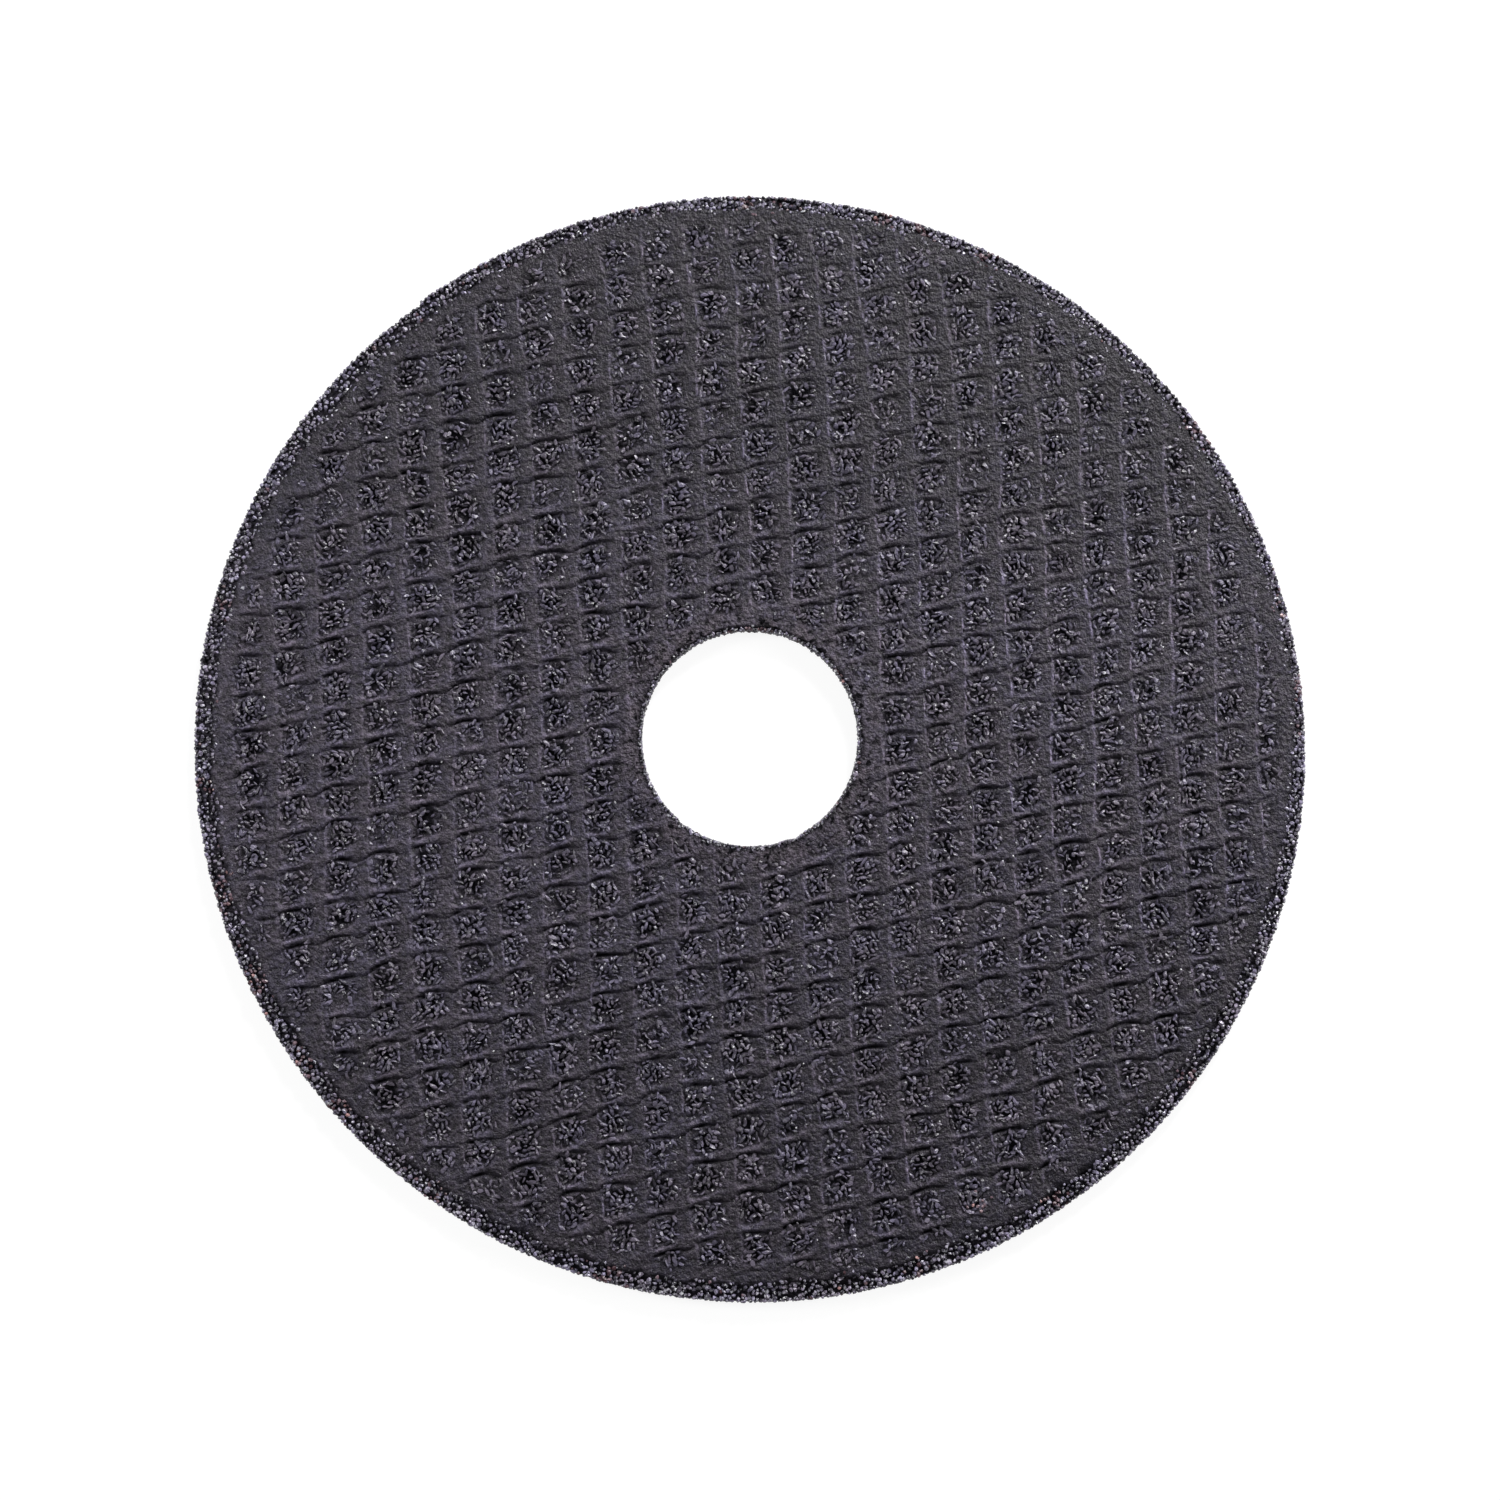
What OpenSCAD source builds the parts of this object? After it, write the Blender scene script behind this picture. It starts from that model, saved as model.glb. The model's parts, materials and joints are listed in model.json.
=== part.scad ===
// Cut-off wheel: a flat bonded abrasive disc with a round bore, pressed between two
// layers of open glass mesh. The yarns lie flush in each face as smooth bands, and the
// grain between them sinks into shallow pits. Outside the mesh a bare band of grain
// runs to the rim. The wheel lies flat, its axis is Z and its lower face is at Z = 0.

/* [Wheel] */
// Outer diameter
wheel_d = 115; // [100:1:150]
// Thickness over both faces
wheel_t = 1.6; // [1.2:0.1:3.2]
// Diameter of the arbor bore
bore_d = 22.23; // [16:0.01:25.4]

/* [Rim] */
// Mean width of the bare band of grain outside the mesh
rim_w = 1.4; // [0.5:0.1:3]
// Depth of the bare band below the face
rim_drop = 0.15; // [0.05:0.05:0.3]
// Bevel along both outer edges
rim_bevel = 0.2; // [0.05:0.05:0.25]

/* [Mesh] */
// Spacing of the warp yarns along X
warp_pitch = 4.4; // [3.6:0.1:7]
// Spacing of the weft yarns along Y
weft_pitch = 3.9; // [3.6:0.1:7]
// Width of a warp yarn
warp_w = 1.4; // [0.8:0.1:2]
// Width of a weft yarn
weft_w = 1.1; // [0.8:0.1:2]
// Angle at which the weft yarns rise towards +X
weft_rise = 13.2; // [-30:0.1:30]
// Angle at which the warp yarns lean towards -X
warp_lean = 1.5; // [-10:0.1:10]
// Further bend of the warp yarns towards -X at the rim
warp_bend = 2.2; // [0:0.1:4]
// Shift of the outermost warp yarns towards -X, which crowds them on the +X side
warp_crowd = 1.2; // [0:0.1:3]
// Depth at the middle of a pit between the yarns
pit_depth = 0.3; // [0.1:0.05:0.4]
// Offset of the mesh from the axis along X
mesh_x = 0.15; // [-0.4:0.05:0.4]
// Offset of the mesh from the axis along Y
mesh_y = 0.1; // [-0.4:0.05:0.4]
// Plain ring of the face kept round the bore
hub_margin = 2.2; // [1:0.1:20]
// Plain ring of the face kept inside the edge of the mesh
edge_margin = 1.2; // [0.5:0.1:20]

/* [Hidden] */
$fn = 180;
wheel_r = wheel_d / 2;
bore_r = bore_d / 2;
mesh_r = wheel_r - rim_w;
mesh_centre = [mesh_x, mesh_y];
// Middle of the pit in column 0 and row 0, as shares of a pitch from the axis
first_column = -0.51;
first_row = -0.17;
// Half sizes of a pit's mouth, as shares of a pitch
half_column = (1 - warp_w / warp_pitch) / 2;
half_row = (1 - weft_w / weft_pitch) / 2;
// Columns and rows that are sure to reach past the rim
columns = ceil((wheel_r + warp_bend + warp_crowd) / warp_pitch) + 2;
rows = ceil(wheel_r * (1 + tan(abs(weft_rise))) / weft_pitch) + 2;
// Height by which cutting shapes stand clear of the face that they cut
cut_over = 0.1;

// A point of the mesh in the XY plane, at a column and row counted in pitches
function mesh_point(column, row) =
    let (
        along = (column + first_column) * warp_pitch,
        across = (row + first_row) * weft_pitch
    )
    [
        along - across * tan(warp_lean)
            - warp_bend * pow(across / wheel_r, 3)
            - warp_crowd * pow(along / wheel_r, 2),
        across + along * tan(weft_rise)
    ];

// The four corners of a pit's mouth, counter-clockwise
function pit_mouth(column, row) = [
    mesh_point(column - half_column, row - half_row),
    mesh_point(column + half_column, row - half_row),
    mesh_point(column + half_column, row + half_row),
    mesh_point(column - half_column, row + half_row)
];

// True where the whole mouth lies in the meshed part of the face
function in_mesh(mouth) =
    min([for (corner = mouth) norm(corner)]) > bore_r + hub_margin
    && max([for (corner = mouth) norm(corner - mesh_centre)]) < mesh_r - edge_margin;

// Disc of bonded grain, set back at both faces, with bevelled edges
module grain_disc() {
    rotate_extrude()
        polygon([
            [0, rim_drop],
            [wheel_r - rim_bevel, rim_drop],
            [wheel_r, rim_drop + rim_bevel],
            [wheel_r, wheel_t - rim_drop - rim_bevel],
            [wheel_r - rim_bevel, wheel_t - rim_drop],
            [0, wheel_t - rim_drop]
        ]);
}

// Meshed part of both faces, a little off the axis
module mesh_disc() {
    translate([mesh_x, mesh_y, 0])
        cylinder(r = mesh_r, h = wheel_t);
}

// Cutting shape of one pit, an inverted pyramid below the plane Z = 0
module pit(mouth) {
    middle = (mouth[0] + mouth[2]) / 2;
    spread = 1 + cut_over / pit_depth;
    polyhedron(
        points = [
            for (corner = mouth) concat(middle + (corner - middle) * spread, cut_over),
            concat(middle, -pit_depth)
        ],
        faces = [[3, 2, 1, 0], [0, 1, 4], [1, 2, 4], [2, 3, 4], [3, 0, 4]]
    );
}

// All pits of one face, below the plane Z = 0
module pits() {
    for (column = [-columns : columns], row = [-rows : rows])
        let (mouth = pit_mouth(column, row))
            if (in_mesh(mouth))
                pit(mouth);
}

module wheel() {
    color("#434046")
    difference() {
        union() {
            grain_disc();
            mesh_disc();
        }
        translate([0, 0, -cut_over])
            cylinder(r = bore_r, h = wheel_t + 2 * cut_over);
        translate([0, 0, wheel_t])
            pits();
        mirror([0, 0, 1])
            pits();
    }
}

wheel();
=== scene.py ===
import itertools
import json
import math

import bpy
import numpy as np
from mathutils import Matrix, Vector, geometry

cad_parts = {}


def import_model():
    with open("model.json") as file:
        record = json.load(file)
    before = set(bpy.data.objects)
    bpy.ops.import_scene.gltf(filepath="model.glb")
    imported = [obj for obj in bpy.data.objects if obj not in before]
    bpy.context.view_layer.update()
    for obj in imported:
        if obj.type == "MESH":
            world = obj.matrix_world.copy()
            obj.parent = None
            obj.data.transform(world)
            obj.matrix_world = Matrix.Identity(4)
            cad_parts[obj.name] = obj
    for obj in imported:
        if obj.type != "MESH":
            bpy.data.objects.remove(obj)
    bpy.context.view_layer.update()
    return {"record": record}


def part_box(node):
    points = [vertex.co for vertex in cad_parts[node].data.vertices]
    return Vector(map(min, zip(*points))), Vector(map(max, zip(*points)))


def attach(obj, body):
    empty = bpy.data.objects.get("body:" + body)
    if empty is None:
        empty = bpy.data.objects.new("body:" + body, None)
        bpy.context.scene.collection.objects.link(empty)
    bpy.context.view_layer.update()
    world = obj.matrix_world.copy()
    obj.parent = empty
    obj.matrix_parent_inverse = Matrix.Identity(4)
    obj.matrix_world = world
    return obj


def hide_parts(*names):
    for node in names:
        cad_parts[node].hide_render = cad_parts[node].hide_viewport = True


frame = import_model()

# Everything below is in millimetres until mesh_object() writes metres.
MM = 0.001
rng = np.random.default_rng(11)
draw = rng.uniform

# The wheel, from the frame
low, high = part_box("wheel")
WHEEL_R = (high.x - low.x) / 2 / MM
WHEEL_T = (high.z - low.z) / MM
BORE_R = next(m["dims"]["r_mm"] for m in frame["record"]["mounts"] if m["name"] == "arbor_bore")

# The mesh pressed into both faces, on the same lines as the solid's pits
RIM_W, RIM_DROP = 1.4, 0.15
MESH_R = WHEEL_R - RIM_W
MESH_X, MESH_Y = 0.15, 0.1
WARP_PITCH, WEFT_PITCH = 4.4, 3.9
WEFT_RISE = math.tan(math.radians(13.2))
WARP_LEAN = math.tan(math.radians(1.5))
WARP_BEND, WARP_CROWD = 2.2, 1.2
FIRST_COLUMN, FIRST_ROW = -0.51, -0.17
COLUMNS, ROWS = 18, 22

# How far a yarn strays from its line, and the lengths of its waves in pitches
WANDER, WANDER_LENGTHS = 0.16, (3.1, 5.7, 11.3)
# Distance at which the unevenness of one yarn says nothing about the next
YARN_APART = 31.7

# Yarns: half widths, widths of the flanks, and depths below the face
WARP_HALF, WARP_FLANK, WARP_LOW, WARP_CROWN = 0.84, 0.3, 0.06, 0.02
WEFT_HALF, WEFT_BULGE, WEFT_FLANK, WEFT_DIP, WEFT_CROWN = 0.34, 0.5, 0.28, 0.04, 0.03
WEFT_UPPER_FLANK, WEFT_UPPER_OUT = 0.46, 0.15
WARP_UNEVEN, WEFT_UNEVEN = 0.09, 0.1
# Reach of a weft's bulge on the left and on the right of a warp
BULGE_BEFORE, BULGE_AFTER = 1.35, 0.85
# Slope of a weft's top: at least, more where pressed firmly, and where across the yarn it starts
TILT_LEAST, TILT_FIRM, TILT_FROM = 0.02, 0.05, -0.6

# Cells: depth, what resin fills of it, share left where pressed little, and raggedness of their edges
CELL_DEPTH, FILL_DEPTH, CELL_LOOSE, CELL_RAGGED = 0.25, 0.12, 0.5, 0.19
FILLED_FROM, FILLED_OVER = 0.3, 1.5
# Painted shade on the ground of a cell: distance from the yarns, width of its edge, and share that filling
# hides
GAP_FOOT, GAP_FADE, GAP_FILLED = 0.2, 0.35, 0.8

# Crease under a weft: depth, width, distance, and how much narrower it is at a crossing
CREASE_DEPTH, CREASE_W, CREASE_OFF, CREASE_NARROW = 0.22, 0.095, 0.06, 0.35
# Its strength everywhere, and more about one place in each cell
CREASE_LEAST, CREASE_MORE, CREASE_AT, CREASE_SPREAD = 0.4, 0.75, -0.08, 0.25
# How it comes and goes: mean, spread over the face and along the yarn, range, and share where pressed little
CREASE_MEAN, CREASE_BROKEN, CREASE_VARIED, CREASE_PACE = 0.85, 0.45, 0.35, 1.1
CREASE_RANGE, CREASE_LOOSE = (0.05, 1.7), 0.1

# Ridge along a warp's right edge: height, width, place, and how it comes and goes
RIDGE_HEIGHT, RIDGE_W, RIDGE_AT = 0.06, 0.11, 0.68
RIDGE_MEAN, RIDGE_UNEVEN, RIDGE_MOST = 0.9, 0.8, 2.2
# Its strength where pressed little, what firm pressing takes off, and its rise towards +X
RIDGE_LOOSE, RIDGE_FIRM, RIDGE_RISE = 2.5, 1.5, 0.012

# Strengths of the painted shade in a weft's crease and of the painted highlight on a warp's ridge
CREASE_SHADE, RIDGE_LIGHT = 1.1, 1.6
# Painted highlight on a weft's upper edge: place, width, change of both at a crossing, and loss of it there
WEFT_LIGHT_AT, WEFT_LIGHT_W, WEFT_LIGHT_SHIFT, CROSSING_LOSS = 0.45, 0.65, 0.4, 0.75
# Its least strength, and its rise towards -Y
WEFT_LIGHT_LEAST, WEFT_LIGHT_RISE = 0.1, 0.012

# Plain rings round the bore and inside the mesh's edge, and the swell of the whole face
PLAIN_LOW = 0.06
HUB_PLAIN, HUB_FADE = 1.0, 2.6
EDGE_PLAIN, EDGE_FADE = 0.7, 2.4
SWELL, FINE_SWELL = 0.016, 0.012
# Direction in which the mesh is pressed less, where that starts, its run, and how far it goes
SOFT_X, SOFT_Y, SOFT_FROM, SOFT_OVER, SOFT_MOST = 0.5, 0.87, 3, 48, 0.8
# Painted light on the resin across the middle, painted shade towards +Y, -Y and +X, and where the first two
# start
SHADE_MIDDLE, SHADE_UP_LOSS, SHADE_DOWN_LOSS, SHADE_X_LOSS = 1.12, 0.5, 0.32, 0.003
SHADE_FROM, SHADE_OVER = 8, 30

# Edge of the mesh: mean distance inside its radius, sway and raggedness
EDGE_IN, EDGE_SWAY, EDGE_RAGGED = 0.18, 0.08, 0.09
# Places where the mesh spreads over the bare band, and chips in the bore's edge: height, angle and spread
MESH_SPREADS = ((0.65, 9, 11), (0.55, 100, 5))
BORE_CHIPS = ((0.2, 295, 2.5), (0.12, 232, 2))
# Outline of the rim: a slight oval and a nick, with angles in degrees
OVAL, OVAL_AT = 0.16, 140
NICK_AT, NICK_SPREAD, NICK_LIP, NICK_DROP = 127, 4, 0.16, 0.2


def smooth(x):
    """Rises smoothly from 0 to 1 as x goes from 0 to 1."""
    x = np.clip(x, 0.0, 1.0)
    return x * x * (3 - 2 * x)


class Ripple:
    """A smooth random field of about unit spread, from waves near one length."""

    def __init__(self, length, waves=14):
        turn = draw(0, 2 * np.pi, waves)
        pace = 2 * np.pi / (length * draw(0.7, 1.6, waves))
        self.kx, self.ky = pace * np.cos(turn), pace * np.sin(turn)
        self.phase = draw(0, 2 * np.pi, waves)

    def __call__(self, x, y):
        total = np.zeros(np.shape(x))
        for kx, ky, phase in zip(self.kx, self.ky, self.phase):
            total = total + np.sin(kx * x + ky * y + phase)
        return total * math.sqrt(2 / len(self.phase))


class Wander:
    """How far each yarn strays from its line, in pitches."""

    def __init__(self, pitch):
        self.size = WANDER / pitch
        self.phase = draw(0, 2 * np.pi, (len(WANDER_LENGTHS), 2 * max(COLUMNS, ROWS) + 4))

    def yarn(self, index, along):
        index = index + self.phase.shape[1] // 2
        total = np.zeros(np.shape(along))
        for length, phase in zip(WANDER_LENGTHS, self.phase):
            total = total + np.sin(2 * np.pi * along / length + phase[index])
        return self.size * total

    def __call__(self, across, along):
        left = np.floor(across - 0.5).astype(int)
        share = across - 0.5 - left
        return (1 - share) * self.yarn(left, along) + share * self.yarn(left + 1, along)


warp_wander, weft_wander = Wander(WARP_PITCH), Wander(WEFT_PITCH)
swell = Ripple(2.6)
fine_swell = Ripple(0.9)
uneven = Ripple(2.2)
broken = Ripple(1.7)
filling = Ripple(6.0)
cell_edge = Ripple(1.3)
edge_sway = Ripple(4.0)
ragged = Ripple(2.4)


def mesh_xy(column, row):
    """Where a place in the mesh lies on the face. Cells are at whole numbers, yarns half way between."""
    along = (column + warp_wander(column, row) + FIRST_COLUMN) * WARP_PITCH
    across = (row + weft_wander(row, column) + FIRST_ROW) * WEFT_PITCH
    bend = WARP_BEND * (across / WHEEL_R) ** 3 + WARP_CROWD * (along / WHEEL_R) ** 2
    return along - across * WARP_LEAN - bend, across + along * WEFT_RISE


def from_yarn(position, pitch):
    """Signed distance to the nearest yarn of a set, in millimetres."""
    return (position - 0.5 - np.round(position - 0.5)) * pitch


def crossing(column):
    """1 on a warp yarn's middle line, falling off slowly on its left and fast on its right."""
    off = from_yarn(column, WARP_PITCH)
    return np.exp(-((off / np.where(off < 0, BULGE_BEFORE, BULGE_AFTER)) ** 2))


def weft_half(column, row):
    """Half width of the nearest weft yarn, which spreads where it crosses a warp."""
    yarn = np.round(row - 0.5)
    even = WEFT_HALF + WEFT_BULGE * crossing(column)
    return even * (1 + WEFT_UNEVEN * uneven(column * WARP_PITCH, yarn * YARN_APART))


def warp_half(column, row):
    """Half width of the nearest warp yarn."""
    yarn = np.round(column - 0.5)
    return WARP_HALF * (1 + WARP_UNEVEN * uneven(yarn * YARN_APART, row * WEFT_PITCH))


def off_angle(turn, degrees):
    """How far each angle is from a given one, in degrees."""
    return (np.degrees(turn) - degrees + 180) % 360 - 180


def bulges(turn, places):
    """Sum of smooth bulges round a circle, each given by its height, angle and spread."""
    return sum(height * np.exp(-((off_angle(turn, at) / spread) ** 2)) for height, at, spread in places)


def mesh_edge(turn):
    """Radius of the mesh about its own middle, at each angle."""
    x, y = WHEEL_R * np.cos(turn), WHEEL_R * np.sin(turn)
    waver = EDGE_SWAY * edge_sway(x, y) + EDGE_RAGGED * cell_edge(x, y)
    return MESH_R - EDGE_IN + bulges(turn, MESH_SPREADS) + waver


def outline(turn):
    """How far the rim strays from round, at each angle."""
    oval = OVAL * np.cos(2 * (turn - math.radians(OVAL_AT)))
    step = off_angle(turn, NICK_AT) / NICK_SPREAD
    return oval + np.where(step < 0, NICK_LIP, -NICK_DROP) * np.exp(-np.abs(step))


def bore_outline(turn):
    """How far the bore's edge strays outwards, at each angle."""
    return bulges(turn, BORE_CHIPS)


def pressed(x, y):
    """How sharply the mesh stands out of the resin: less towards the upper right."""
    return 1 - SOFT_MOST * smooth((SOFT_X * x + SOFT_Y * y - SOFT_FROM) / SOFT_OVER)


def meshed(x, y):
    """1 where the mesh shows fully, falling to 0 near the bore and the edge of the mesh."""
    hub = smooth((np.hypot(x, y) - BORE_R - HUB_PLAIN) / HUB_FADE)
    edge = smooth((MESH_R - np.hypot(x - MESH_X, y - MESH_Y) - EDGE_PLAIN) / EDGE_FADE)
    return hub * edge


def painted_resin_shade(x, y):
    """Painted light and shade on the resin: lightest across the middle, darker towards +Y and -Y, a little
    darker to the right.
    """
    up = SHADE_UP_LOSS * smooth((y - SHADE_FROM) / SHADE_OVER)
    down = SHADE_DOWN_LOSS * smooth((-y - SHADE_FROM) / SHADE_OVER)
    return SHADE_MIDDLE - up - down - SHADE_X_LOSS * x


def filled(x, y):
    """1 where resin fills the cells level, 0 where their grain lies open."""
    return smooth((filling(x, y) - FILLED_FROM) / FILLED_OVER)


def yarn_shares(off_warp, off_weft, half_warp, half_weft):
    """How much of a warp yarn and of a weft yarn lies at each place, with soft flanks."""
    warp = 1 - smooth((np.abs(off_warp) - half_warp + WARP_FLANK) / WARP_FLANK)
    lower = 1 - smooth((-off_weft - half_weft + WEFT_FLANK) / WEFT_FLANK)
    upper = 1 - smooth((off_weft - half_weft - WEFT_UPPER_OUT + WEFT_UPPER_FLANK) / WEFT_UPPER_FLANK)
    return warp, np.where(off_weft < 0, lower, upper)


def warp_ridge(column, row, x, firm):
    """Strength of the ridge along a warp yarn's right edge, which sets both its height and its painted
    highlight.
    """
    across = (from_yarn(column, WARP_PITCH) - RIDGE_AT) / RIDGE_W
    here = np.clip(RIDGE_MEAN + RIDGE_UNEVEN * uneven(row * WEFT_PITCH, column * YARN_APART), 0, RIDGE_MOST)
    return np.exp(-(across ** 2)) * here * (RIDGE_LOOSE - RIDGE_FIRM * firm + RIDGE_RISE * x)


def weft_crease(column, row, x, y, firm):
    """Strength of the crease along a weft yarn's lower side, which sets both its depth and its painted
    shade.
    """
    in_cell = (column - np.round(column) - CREASE_AT) / CREASE_SPREAD
    strength = CREASE_LEAST + CREASE_MORE * np.exp(-(in_cell ** 2))
    along_yarn = uneven(np.round(row - 0.5) * YARN_APART, CREASE_PACE * column)
    come_and_go = CREASE_MEAN + CREASE_BROKEN * broken(x, y) + CREASE_VARIED * along_yarn
    strength = strength * np.clip(come_and_go, *CREASE_RANGE) * (CREASE_LOOSE + (1 - CREASE_LOOSE) * firm)
    below = from_yarn(row, WEFT_PITCH) + weft_half(column, row) + CREASE_OFF
    return strength * np.exp(-((below / (CREASE_W * (1 - CREASE_NARROW * crossing(column)))) ** 2))


def cell_gap_shade(off_warp, off_weft, half_weft, x, y):
    """How much painted shade lies on the ground between the grains of a cell."""
    beside = np.abs(off_warp) - WARP_HALF - GAP_FOOT + CELL_RAGGED * cell_edge(x, y)
    between = np.abs(off_weft) - half_weft - GAP_FOOT + CELL_RAGGED * cell_edge(y, x)
    return smooth(beside / GAP_FADE) * smooth(between / GAP_FADE) * (1 - GAP_FILLED * filled(x, y))


def weft_light(off_in_halves, over, firm, y):
    """Painted highlight on the upper edge of a weft yarn."""
    shift = WEFT_LIGHT_SHIFT * over
    across = (off_in_halves - WEFT_LIGHT_AT - shift) / (WEFT_LIGHT_W - shift)
    strength = WEFT_LIGHT_LEAST + firm + WEFT_LIGHT_RISE * np.maximum(-y, 0)
    return strength * (1 - CROSSING_LOSS * over) * np.exp(-(across ** 2))


def relief(column, row, x, y):
    """Depth below the face, and shares of warp, weft, painted shade in creases and gaps, and painted
    highlight on yarn edges, at each place.
    """
    off_warp, off_weft = from_yarn(column, WARP_PITCH), from_yarn(row, WEFT_PITCH)
    half, over = weft_half(column, row), crossing(column)
    firm, shown = pressed(x, y), meshed(x, y)
    warp, weft = yarn_shares(off_warp, off_weft, warp_half(column, row), half)
    ridge = warp_ridge(column, row, x, firm) * (1 - weft)
    crease = weft_crease(column, row, x, y, firm)
    warp_depth = WARP_LOW + WARP_CROWN * (off_warp / WARP_HALF) ** 2
    tilt = (TILT_LEAST + TILT_FIRM * firm) * np.maximum(off_weft / half - TILT_FROM, 0)
    weft_depth = WEFT_DIP * (1 - over) + WEFT_CROWN * (off_weft / half) ** 2 + tilt
    cell_depth = (CELL_DEPTH - FILL_DEPTH * filled(x, y)) * (CELL_LOOSE + (1 - CELL_LOOSE) * firm)
    depth = np.minimum(
        cell_depth - (cell_depth - warp_depth) * warp,
        cell_depth - (cell_depth - weft_depth) * weft,
    )
    depth = depth + CREASE_DEPTH * crease - RIDGE_HEIGHT * ridge
    depth = shown * depth + (1 - shown) * PLAIN_LOW
    depth = depth + SWELL * swell(x, y) + FINE_SWELL * fine_swell(x, y)
    # Painted shade in the creases and on the ground between grains
    painted_shade = np.clip(np.maximum(CREASE_SHADE * crease, cell_gap_shade(off_warp, off_weft, half, x, y)), 0, 1)
    # Painted highlight on the warps' ridges and the wefts' upper edges
    light = np.maximum(RIDGE_LIGHT * ridge, weft_light(off_weft / half, over, firm, y))
    masks = (warp * (1 - weft), weft, painted_shade, light)
    return np.maximum(depth, 0.0), *(mask * shown for mask in masks)


# Samples of a face: across a warp in millimetres, across a weft in half widths, and rows between wefts
FACE_STEPS = (
    (-1.55, -1.0, -0.7, -0.4, 0.0, 0.4, 0.56, 0.68, 0.8, 1.0, 1.55, 2.2),
    (-2.1, -1.5, -1.22, -1.0, -0.55, 0.0, 0.45, 0.8, 1.3),
    3,
)
BACK_STEPS = ((-0.85, -0.4, 0.4, 0.85, 2.2), (-1.0, -0.5, 0.5, 1.0), 1)
# Room that the rows keep above a weft and below the next
CLEAR_ABOVE, CLEAR_BELOW = 0.12, 0.4


def face_samples(warp_steps, weft_steps, cell_rows):
    """Places in the mesh, rows following the yarns' edges, as columns and rows of the mesh."""
    columns = np.arange(-COLUMNS, COLUMNS)[:, None] + 0.5 + np.asarray(warp_steps) / WARP_PITCH
    columns = columns.ravel()[:, None]
    rows = np.arange(-ROWS, ROWS)[None, :] + 0.5
    half = weft_half(columns, rows)
    offsets = []
    for step in weft_steps:
        past = max(abs(step) - 1, 0) * WEFT_FLANK
        offsets.append(math.copysign(1, step) * (min(abs(step), 1) * half + past))
    first, last = half + CLEAR_ABOVE, WEFT_PITCH - half - CLEAR_BELOW
    for share in (np.arange(cell_rows) + 0.5) / cell_rows:
        offsets.append(first + (last - first) * share)
    row = rows[None] + np.stack(offsets) / WEFT_PITCH
    column = np.broadcast_to(columns[None], row.shape)
    return column.ravel(), row.ravel()


def turns(count):
    """Angles of evenly spaced points round a ring."""
    return np.arange(count) * 2 * np.pi / count


def round_axis(turn, radius, height):
    """Points at angles, radii and heights."""
    return np.c_[radius * np.cos(turn), radius * np.sin(turn), height]


def ring(radius, height, count, centre=(0.0, 0.0)):
    """A round of points at one height."""
    return round_axis(turns(count), radius, np.full(count, height)) + (*centre, 0.0)


def strip(first, second, count):
    """Triangles between two rings of as many points, given by their first points' indices."""
    i = np.arange(count)
    j = (i + 1) % count
    return np.r_[np.c_[first + i, first + j, second + j], np.c_[first + i, second + j, second + i]]


# Points round the edge of the mesh and round the bore, and room kept free beside those rings
EDGE_POINTS, BORE_POINTS = 720, 180
EDGE_GAP = 0.22
# Radius at which the face ends, behind the grains of the bore's wall
BORE_BASE = BORE_R + 0.42
# Painted shade on the ground under the grains of the rim and of the bore's edge
RIM_GROUND_SHADE, LIP_GROUND_SHADE = 0.6, 0.9


def face(*steps):
    """One face seen from above: points with depths, triangles, and the masks of relief(). The points start
    with the ring at the edge of the mesh and the ring at the bore."""
    column, row = face_samples(*steps)
    x, y = mesh_xy(column, row)
    turn = np.arctan2(y - MESH_Y, x - MESH_X)
    inside = np.hypot(x - MESH_X, y - MESH_Y) < mesh_edge(turn) - EDGE_GAP
    inside &= np.hypot(x, y) > BORE_BASE + EDGE_GAP
    column, row, x, y = column[inside], row[inside], x[inside], y[inside]
    depth, *shares = relief(column, row, x, y)
    edge = ring(mesh_edge(turns(EDGE_POINTS)), PLAIN_LOW, EDGE_POINTS, (MESH_X, MESH_Y))
    bore = ring(BORE_BASE + bore_outline(turns(BORE_POINTS)), PLAIN_LOW, BORE_POINTS)
    points = np.vstack([edge, bore, np.c_[x, y, depth]])
    rings = EDGE_POINTS + BORE_POINTS
    masks = np.zeros((len(points), 4))
    # Painted shade on the ground at the mesh's edge and at the bore, under the grains
    masks[:EDGE_POINTS, 2] = RIM_GROUND_SHADE
    masks[EDGE_POINTS:rings, 2] = LIP_GROUND_SHADE
    masks[rings:] = np.stack(shares, 1)
    loops = [(i, (i + 1) % EDGE_POINTS) for i in range(EDGE_POINTS)]
    loops += [(EDGE_POINTS + i, EDGE_POINTS + (i + 1) % BORE_POINTS) for i in range(BORE_POINTS)]
    made = geometry.delaunay_2d_cdt([Vector(p) for p in points[:, :2]], loops, [], 1, 1e-7)
    origin = np.array([o[0] for o in made[3]])
    triangles = origin[np.array(made[2])]
    in_bore = ((triangles >= EDGE_POINTS) & (triangles < rings)).all(1)
    return points, triangles[~in_bore], masks


def new_object(name, data):
    """An object of the scene."""
    made = bpy.data.objects.new(name, data)
    bpy.context.scene.collection.objects.link(made)
    return made


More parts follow.
